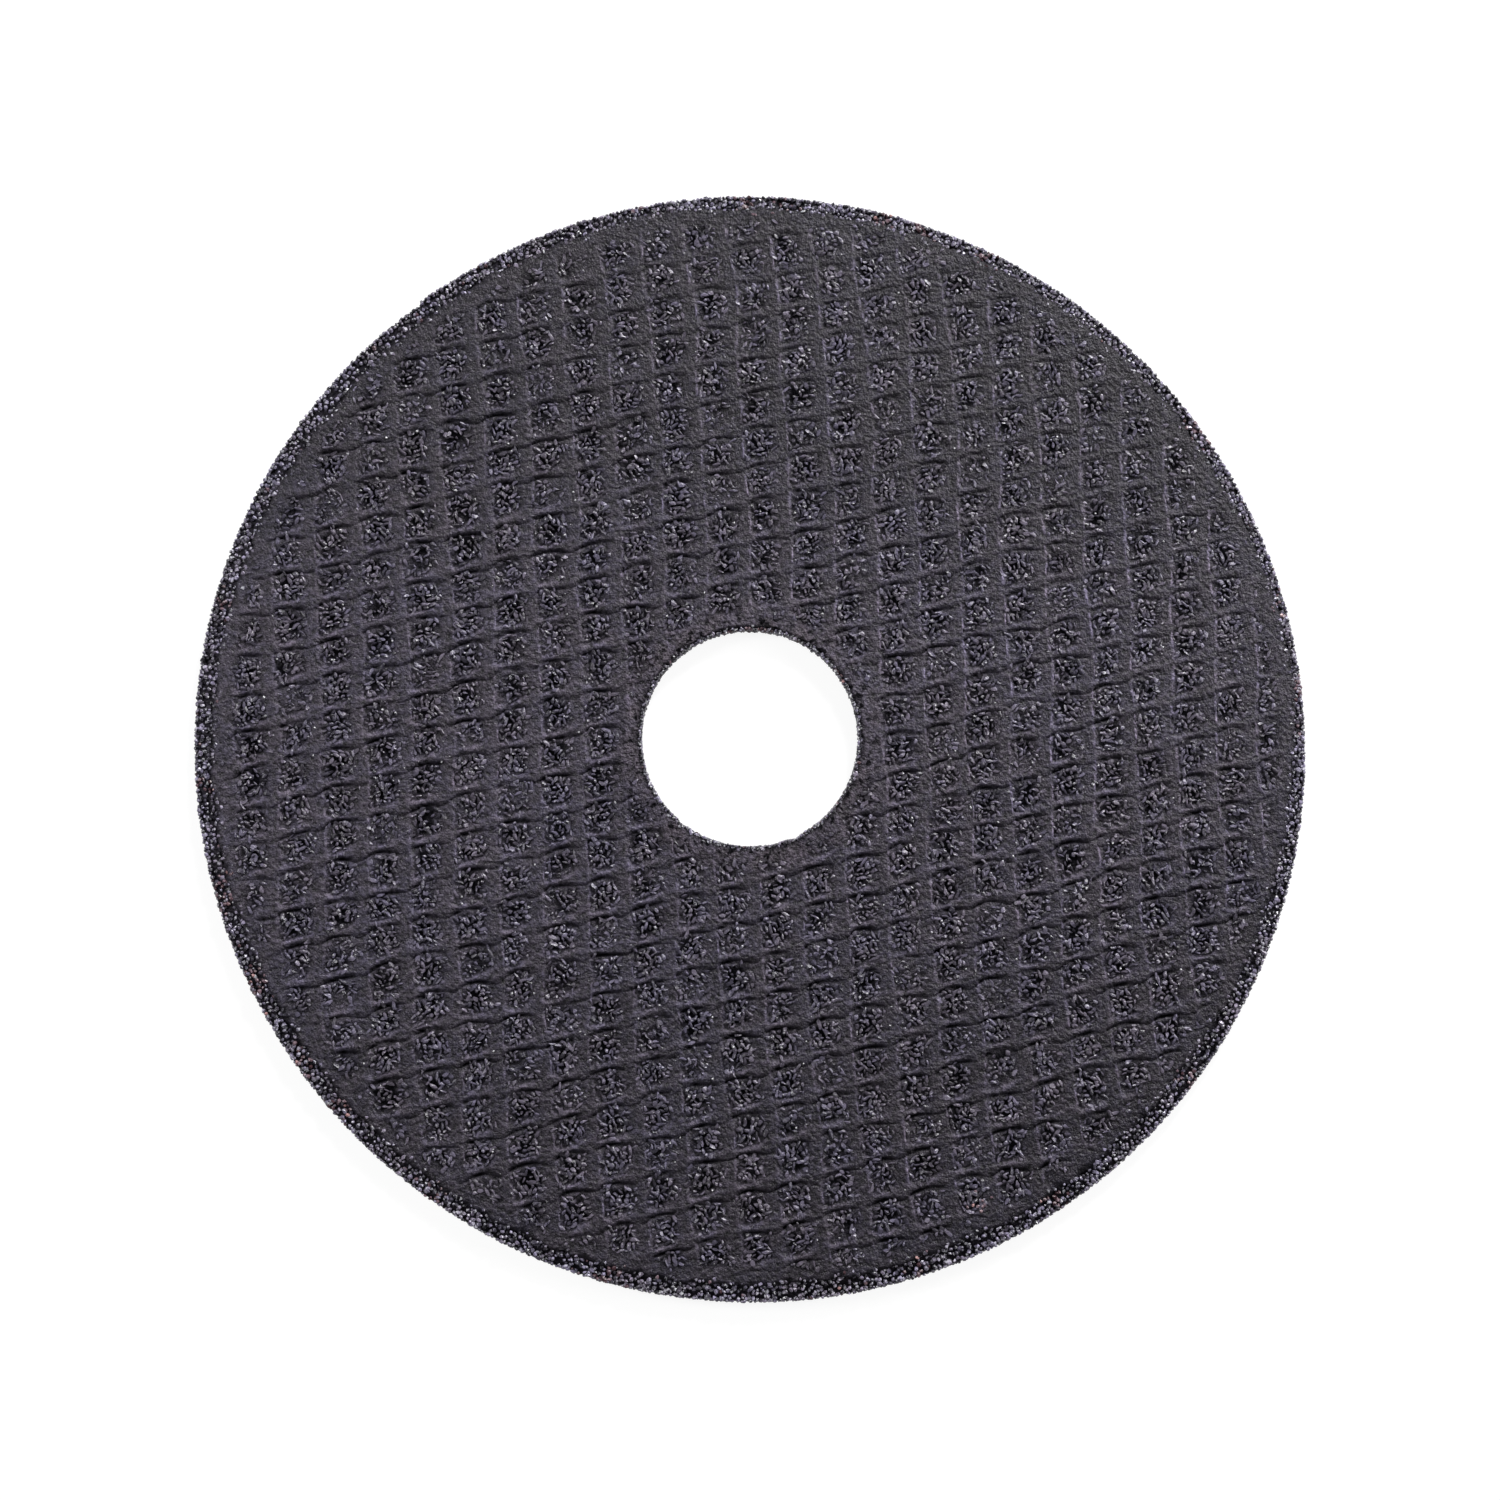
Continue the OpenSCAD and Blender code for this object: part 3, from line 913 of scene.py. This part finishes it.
class Look:
    """A node material under construction, with short helpers for its nodes."""

    def __init__(self, name):
        self.material = bpy.data.materials.new(name)
        self.material.use_nodes = True
        self.tree = self.material.node_tree
        self.shader = self.tree.nodes["Principled BSDF"]
        self.place = self.tree.nodes.new("ShaderNodeTexCoord").outputs["Object"]

    def node(self, kind, **settings):
        made = self.tree.nodes.new(kind)
        for key, value in settings.items():
            setattr(made, key, value)
        return made

    def link(self, out, into):
        self.tree.links.new(out, into)

    def feed(self, socket, source):
        """Gives a socket a number, a colour or another node's output."""
        if isinstance(source, tuple):
            socket.default_value = (*source, 1.0)
        elif isinstance(source, (int, float)):
            socket.default_value = source
        else:
            self.link(source, socket)

    def noise(self, size, detail=3.0, stretch=(1, 1, 1), turn=0.0):
        """Noise with features of about size millimetres, stretched and turned about Z."""
        mapping = self.node("ShaderNodeMapping")
        mapping.inputs["Rotation"].default_value = (0, 0, -turn)
        mapping.inputs["Scale"].default_value = [1 / s for s in stretch]
        self.link(self.place, mapping.inputs["Vector"])
        made = self.node("ShaderNodeTexNoise")
        made.inputs["Scale"].default_value = 1 / (size * MM)
        made.inputs["Detail"].default_value = detail
        self.link(mapping.outputs["Vector"], made.inputs["Vector"])
        return made.outputs["Fac"]

    def value(self, name):
        return self.node("ShaderNodeAttribute", attribute_name=name).outputs["Fac"]

    def span(self, source, *limits):
        """A value carried from one range to another, with the limits of both."""
        made = self.node("ShaderNodeMapRange")
        for key, number in zip(("From Min", "From Max", "To Min", "To Max"), limits):
            made.inputs[key].default_value = number
        self.link(source, made.inputs["Value"])
        return made.outputs["Result"]

    def math(self, operation, first, second):
        made = self.node("ShaderNodeMath", operation=operation)
        self.feed(made.inputs[0], first)
        self.feed(made.inputs[1], second)
        return made.outputs["Value"]

    def mix(self, share, first, second, blend="MIX"):
        """Two colours mixed by a share. Each colour is a tuple or an output."""
        made = self.node("ShaderNodeMix", data_type="RGBA", blend_type=blend)
        for socket, source in ((made.inputs[0], share), (made.inputs[6], first), (made.inputs[7], second)):
            self.feed(socket, source)
        return made.outputs[2]

    def shaded(self, colour, shade):
        """A colour made lighter or darker by a value about 1."""
        grey = self.node("ShaderNodeCombineColor")
        for channel in grey.inputs:
            self.link(shade, channel)
        return self.mix(1.0, colour, grey.outputs["Color"], "MULTIPLY")

    def bump(self, height, distance, under=None):
        """A bump with heights up to distance millimetres, on top of another one."""
        made = self.node("ShaderNodeBump")
        made.inputs["Distance"].default_value = distance * MM
        made.inputs["Strength"].default_value = 1.0
        self.link(height, made.inputs["Height"])
        if under is not None:
            self.link(under, made.inputs["Normal"])
        return made.outputs["Normal"]

    def gloss(self, shade_share, depths, level):
        """Reflection that fades out where a value rises: painted shade on the reflection."""
        self.link(self.span(shade_share, *depths, level, 0.0), self.shader.inputs["Specular IOR Level"])

    def paint_shade(self, colour, depths, level):
        """Paints shade into a colour, and fades reflection, in gaps that little light reaches."""
        shade_share = self.value("depth")
        self.gloss(shade_share, depths, level)
        return self.mix(self.span(shade_share, *depths, 0, 1), colour, PAINTED_SHADE_COLOUR)

    def finish(self, colour, roughness, normal):
        self.link(colour, self.shader.inputs["Base Color"])
        self.link(roughness, self.shader.inputs["Roughness"])
        self.link(normal, self.shader.inputs["Normal"])
        return self.material


# Linear colours of the resin and the grain
BLUE_GREY = (0.0386, 0.0348, 0.0525)
BROWN_GREY = (0.0424, 0.0360, 0.0477)
# Near-black of painted shade in creases, gaps, pits and the sunk sides of grains
PAINTED_SHADE_COLOUR = (0.004, 0.004, 0.005)
# Painted glints on bare grain
PAINTED_GLINT = (0.55, 0.55, 0.6)
DARK_RED, DULL_PINK, PALE_PINK = (0.058, 0.025, 0.033), (0.16, 0.1, 0.125), (0.42, 0.24, 0.24)
# Painted glints on tinted grain
PINK_PAINTED_GLINT = (0.5, 0.41, 0.45)
# Clean crystals' dark facets and painted glints
CLEAN_DARK, CLEAN_GLINT = (0.2, 0.2, 0.22), (0.85, 0.84, 0.87)
# Casts of the meshed faces, of their worn part round the bore, and of their reflection
FACE_CAST, WORN_CAST, SHEEN_CAST = (1.0, 0.967, 1.018), (1.07, 1.03, 0.96), (0.99, 0.965, 1.0)
# Range in which most of a noise lies
NOISE_RANGE = (0.3, 0.7)
# Ranges of the depth value over which painted shade darkens bare and coated grain
BARE_SHADE_DEPTHS, COATED_SHADE_DEPTHS = (0.1, 0.9), (0.12, 0.85)


def resin_tint(look):
    """Charcoal that drifts between bluish and brownish patches."""
    patches = look.span(look.noise(2.2, 2.0), 0.44, 0.56, 0, 1)
    drift = look.span(look.noise(14.0, 2.0), 0.35, 0.65, 0, 1)
    share = look.math("ADD", look.math("MULTIPLY", patches, 0.65), look.math("MULTIPLY", drift, 0.35))
    return look.mix(share, BLUE_GREY, BROWN_GREY)


def yarn_strands(look):
    """A trace of the strands along both sets of yarns."""
    warp = look.math("MULTIPLY", look.noise(0.3, stretch=(1, 8, 1)), look.value("warp"))
    weft_noise = look.noise(0.3, stretch=(8, 1, 1), turn=math.atan(WEFT_RISE))
    return look.math("ADD", warp, look.math("MULTIPLY", weft_noise, look.value("weft")))


def resin_look():
    """The meshed faces: yarns with a trace of strands, painted shade in creases and gaps, painted highlights
    on yarn edges, painted light and shade across the face, and a worn ring at the bore with pits painted in
    as shade.
    """
    look = Look("meshed_resin")
    look.feed(look.shader.inputs["Specular Tint"], SHEEN_CAST)
    depth, worn = look.value("depth"), look.value("worn")
    speckle = look.noise(0.42, 5.0)
    colour = look.shaded(resin_tint(look), look.span(speckle, *NOISE_RANGE, 0.08, 1.5))
    colour = look.mix(1.0, colour, FACE_CAST, "MULTIPLY")
    colour = look.mix(worn, colour, WORN_CAST, "MULTIPLY")
    # Painted highlights on the warps' ridges and the wefts' upper edges
    colour = look.shaded(colour, look.span(look.value("light"), 0, 4, 0.93, 5.6))
    # Painted light across the middle and painted shade towards the top, the bottom and the right
    colour = look.shaded(colour, look.value("shade"))
    colour = look.shaded(colour, look.span(worn, 0, 1, 1, 1.65))
    # Dark pits in the worn ring, painted as shade with no hollows of their own
    pit_shade = look.math("MULTIPLY", look.span(look.noise(0.8, 4.0), 0.54, 0.62, 0, 0.95), worn)
    colour = look.mix(pit_shade, colour, PAINTED_SHADE_COLOUR)
    # Painted shade of creases, gaps and rim ground, and reflection faded there and in the pits
    colour = look.mix(look.span(depth, 0, 1, 0, 0.95), colour, PAINTED_SHADE_COLOUR)
    look.gloss(look.math("MAXIMUM", depth, pit_shade), (0, 1), 0.4)
    roughness = look.span(look.noise(0.4), *NOISE_RANGE, 0.3, 0.52)
    normal = look.bump(speckle, 0.34)
    normal = look.bump(look.noise(0.17, 2.0, stretch=(1, 2.2, 1)), 0.09, under=normal)
    normal = look.bump(yarn_strands(look), 0.07, under=normal)
    normal = look.bump(look.math("MULTIPLY", look.noise(0.3), worn), 0.3, under=normal)
    return look.finish(colour, roughness, normal)


def coated_look():
    """Grain under resin, with painted shade low on the lumps and in the gaps between them."""
    look = Look("coated_grain")
    speckle = look.noise(0.4, 4.0)
    colour = look.shaded(resin_tint(look), look.span(look.value("tone"), 0, 1, 0.75, 3.8))
    colour = look.paint_shade(colour, COATED_SHADE_DEPTHS, 0.65)
    roughness = look.span(speckle, *NOISE_RANGE, 0.18, 0.4)
    normal = look.bump(look.noise(0.16, 2.0), 0.05, under=look.bump(speckle, 0.1))
    return look.finish(colour, roughness, normal)


def bare_look():
    """Broken grain without resin: black and grey, with facets painted lighter or darker, a few painted
    glints, and painted shade on its sunk side.
    """
    look = Look("bare_grain")
    glint = look.value("glint")
    colour = look.shaded(resin_tint(look), look.span(look.value("tone"), 0, 1, 0.35, 6.6))
    # Facets painted lighter or darker, and painted glints on a few of them
    colour = look.shaded(colour, look.span(glint, 0.0, 0.7, 0.45, 1.45))
    colour = look.mix(look.span(glint, 0.7, 1.0, 0, 0.7), colour, PAINTED_GLINT)
    colour = look.paint_shade(colour, BARE_SHADE_DEPTHS, 0.5)
    speckle = look.noise(0.14)
    return look.finish(colour, look.span(speckle, *NOISE_RANGE, 0.12, 0.4), look.bump(speckle, 0.03))


def tint_look():
    """Dark red, dull pink and a few pale pink grains."""
    look = Look("tinted_grain")
    tone = look.value("tone")
    colour = look.mix(look.span(tone, 0.25, 0.5, 0, 1), DARK_RED, DULL_PINK)
    colour = look.mix(look.span(tone, 0.92, 0.97, 0, 1), colour, PALE_PINK)
    # Painted glints on a few facets
    colour = look.mix(look.span(look.value("glint"), 0.75, 1.0, 0, 0.6), colour, PINK_PAINTED_GLINT)
    colour = look.paint_shade(colour, BARE_SHADE_DEPTHS, 0.5)
    speckle = look.noise(0.14)
    return look.finish(colour, look.span(speckle, *NOISE_RANGE, 0.2, 0.45), look.bump(speckle, 0.03))


def clean_look():
    """Clean crystals whose facets are painted dark or light, the light ones as painted glints."""
    look = Look("clean_grain")
    colour = look.mix(look.span(look.value("glint"), 0.3, 0.8, 0, 1), CLEAN_DARK, CLEAN_GLINT)
    speckle = look.noise(0.1, 2.0)
    return look.finish(colour, look.span(speckle, *NOISE_RANGE, 0.1, 0.3), look.bump(speckle, 0.02))


# The stage, in metres

FLOOR_HALF = 2.0
FLOOR_GREY = (0.22, 0.22, 0.22)
WHITE = (1.0, 1.0, 1.0)
# The floor's own light near the wheel and far from it, and where it starts and stops rising
GLOW_NEAR, GLOW_FAR, GLOW_FROM, GLOW_TO = 0.88, 1.0, 0.12, 0.5
WORLD_LIGHT = 0.17
# Lamps: azimuth from +X towards +Y and elevation in degrees, distance, size, and power in watts
LAMPS = {
    "key_lamp": (68, 23, 0.8, 0.2, 8.0),
    "right_lamp": (5, 22, 0.6, 0.15, 1.1),
    "low_lamp": (27, 19, 0.23, 0.06, 0.12),
    "left_lamp": (165, 32, 0.5, 0.15, 0.95),
}
# Photograph's frame, and the place in it of the wheel's centre, in pixels
PHOTO_SIZE = 1500
CENTRE_X, CENTRE_Y = 749.8, 737.9
FOCAL_PIXELS = 2249
CAMERA_ELEVATION = math.radians(85.27)
CAMERA_DISTANCE, CAMERA_NEAR = 0.2329, 0.01
# Width of the camera's sensor, in millimetres
SENSOR = 36.0


def floor():
    """A white floor that shows the wheel's shadow."""
    mesh = bpy.data.meshes.new("floor")
    corners = [(FLOOR_HALF * s, FLOOR_HALF * t, 0) for s, t in ((-1, -1), (1, -1), (1, 1), (-1, 1))]
    mesh.from_pydata(corners, [], [(0, 1, 2, 3)])
    look = Look("white_floor")
    look.feed(look.shader.inputs["Base Color"], FLOOR_GREY)
    look.feed(look.shader.inputs["Roughness"], 1.0)
    look.feed(look.shader.inputs["Emission Color"], WHITE)
    rays = look.node("ShaderNodeLightPath").outputs
    seen = look.math("MAXIMUM", rays["Is Camera Ray"], rays["Is Glossy Ray"])
    seen = look.math("MAXIMUM", seen, rays["Is Transmission Ray"])
    away = look.node("ShaderNodeVectorMath", operation="LENGTH")
    look.link(look.place, away.inputs[0])
    glow = look.span(away.outputs["Value"], GLOW_FROM, GLOW_TO, GLOW_NEAR, GLOW_FAR)
    look.link(look.math("MULTIPLY", seen, glow), look.shader.inputs["Emission Strength"])
    mesh.materials.append(look.material)
    made = new_object("floor", mesh)


def world():
    """Even soft light from all round, white where the camera sees it."""
    made = bpy.data.worlds.new("studio")
    bpy.context.scene.world = made
    made.use_nodes = True
    nodes, links = made.node_tree.nodes, made.node_tree.links
    ground = nodes["Background"]
    ground.inputs["Color"].default_value = (*WHITE, 1.0)
    rays = nodes.new("ShaderNodeLightPath")
    strength = nodes.new("ShaderNodeMapRange")
    strength.inputs["To Min"].default_value = WORLD_LIGHT
    links.new(rays.outputs["Is Camera Ray"], strength.inputs["Value"])
    links.new(strength.outputs["Result"], ground.inputs["Strength"])


def softbox(name, azimuth, elevation, distance, size, watts):
    """An area lamp aimed at the wheel."""
    a, e = math.radians(azimuth), math.radians(elevation)
    away = Vector((math.cos(a) * math.cos(e), math.sin(a) * math.cos(e), math.sin(e)))
    lamp = bpy.data.lights.new(name, "AREA")
    lamp.size = size
    lamp.energy = watts
    made = new_object(name, lamp)
    made.location = away * distance
    made.rotation_euler = away.to_track_quat("Z", "Y").to_euler()


def camera():
    """The photograph's view: almost straight down, from a little towards -Y."""
    data = bpy.data.cameras.new("camera")
    data.sensor_width = SENSOR
    data.lens = FOCAL_PIXELS * SENSOR / PHOTO_SIZE
    data.shift_x = (PHOTO_SIZE / 2 - CENTRE_X) / PHOTO_SIZE
    data.shift_y = (CENTRE_Y - PHOTO_SIZE / 2) / PHOTO_SIZE
    data.clip_start = CAMERA_NEAR
    made = new_object("camera", data)
    back = Vector((0, -math.cos(CAMERA_ELEVATION), math.sin(CAMERA_ELEVATION)))
    made.location = Vector((0, 0, WHEEL_T * MM)) + back * CAMERA_DISTANCE
    made.rotation_euler = back.to_track_quat("Z", "Y").to_euler()
    bpy.context.scene.camera = made


bpy.context.scene.view_settings.view_transform = "Standard"
camera()
floor()
world()
for lamp_name, settings in LAMPS.items():
    softbox(lamp_name, *settings)

# The upper face's grain in four pieces, with the signs of X and Y in each
QUARTERS = {"right_top": (1, 1), "left_top": (-1, 1), "left_bottom": (-1, -1), "right_bottom": (1, -1)}

coated, bare, tint = coated_look(), bare_look(), tint_look()
wheel_body(resin_look())
grain_tops = [
    cell_grain("cell_grain_" + quarter, FRONT_SPACING, FRONT_SIZE, True, coated,
               lambda x, y: (x * sx > 0) & (y * sy > 0))
    for quarter, (sx, sy) in QUARTERS.items()
]
cell_grain("back_cell_grain", BACK_SPACING, BACK_SIZE, False, coated)
face_glints(np.vstack(grain_tops), clean_look())
pink_cluster(tint)
rim_grain(bare, tint)
bore_grain(bare, tint)

bpy.context.view_layer.update()
